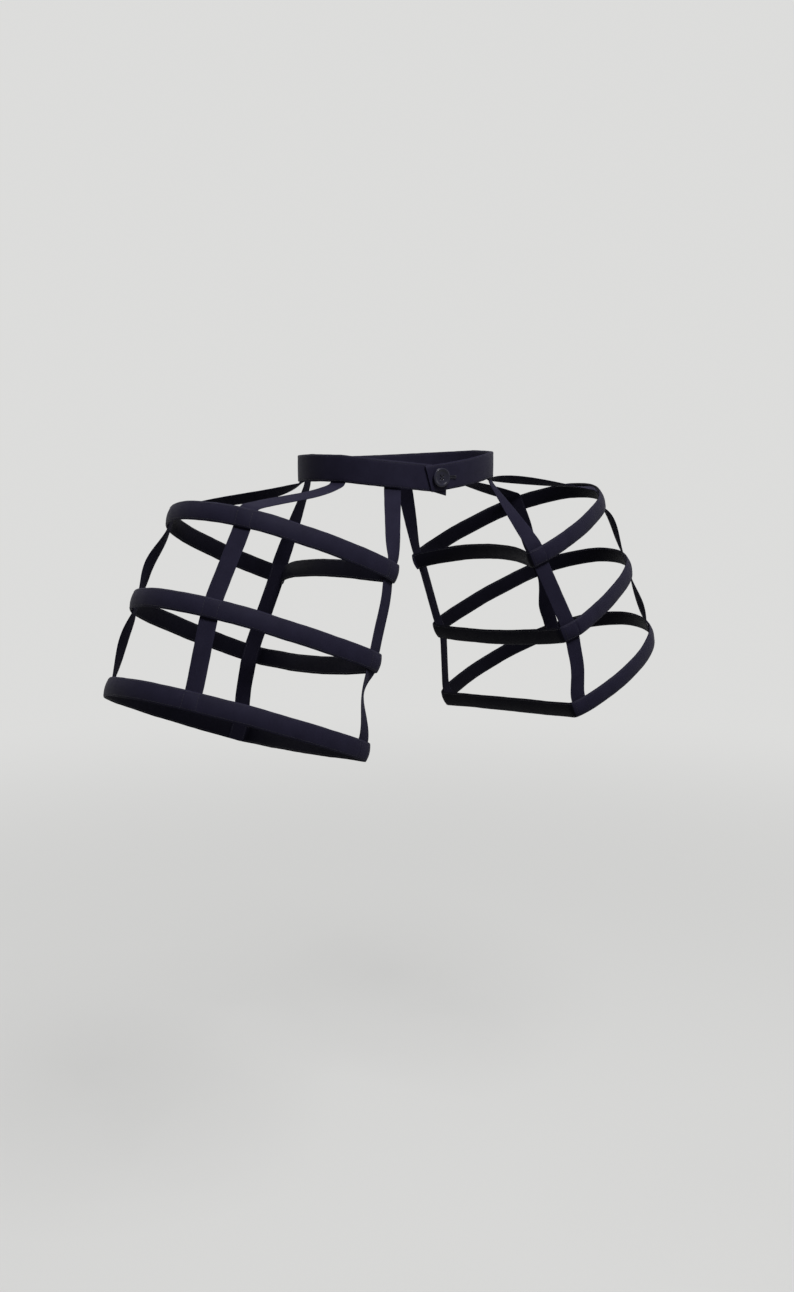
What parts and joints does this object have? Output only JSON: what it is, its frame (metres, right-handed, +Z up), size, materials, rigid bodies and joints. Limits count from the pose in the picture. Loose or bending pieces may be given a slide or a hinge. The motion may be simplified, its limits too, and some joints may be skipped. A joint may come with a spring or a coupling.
{
  "type": "crinoline cage with side hoops",
  "caption": "Side-hoop crinoline cage: a buttoned waistband carrying boned D-shaped cloth hoops on hanging straps at both hips, to hold a skirt out sideways.",
  "frame": {"origin": "middle of the waist loop, at the middle of the waistband's height at the sides", "axes": "+Z up; the wearer faces -Y, so the buttoned closure is towards +Y; the wearer's left is +X"},
  "size_m": [0.8099, 0.2886, 0.3682],
  "materials": {
    "waist_cloth": "close-woven matt",
    "band_cloth": "matt with a soft sheen",
    "strap_cloth": "matt ribbed tape",
    "bone_steel": "spring temper",
    "button": "polished rim",
    "thread": "twisted"
  },
  "bodies": {
    "root": {"waistband": "waist_cloth", "button": "button", "button_thread": "thread", "left_top_hoop_casing": "band_cloth", "left_top_hoop_bone": "bone_steel", "left_mid_hoop_casing": "band_cloth", "left_mid_hoop_bone": "bone_steel", "left_bottom_hoop_casing": "band_cloth", "left_bottom_hoop_bone": "bone_steel", "left_back_strap": "strap_cloth", "left_outer_back_strap": "strap_cloth", "left_outer_front_strap": "strap_cloth", "left_front_strap": "strap_cloth", "right_top_hoop_casing": "band_cloth", "right_top_hoop_bone": "bone_steel", "right_mid_hoop_casing": "band_cloth", "right_mid_hoop_bone": "bone_steel", "right_bottom_hoop_casing": "band_cloth", "right_bottom_hoop_bone": "bone_steel", "right_back_strap": "strap_cloth", "right_outer_back_strap": "strap_cloth", "right_outer_front_strap": "strap_cloth", "right_front_strap": "strap_cloth"}
  },
  "joints": []
}
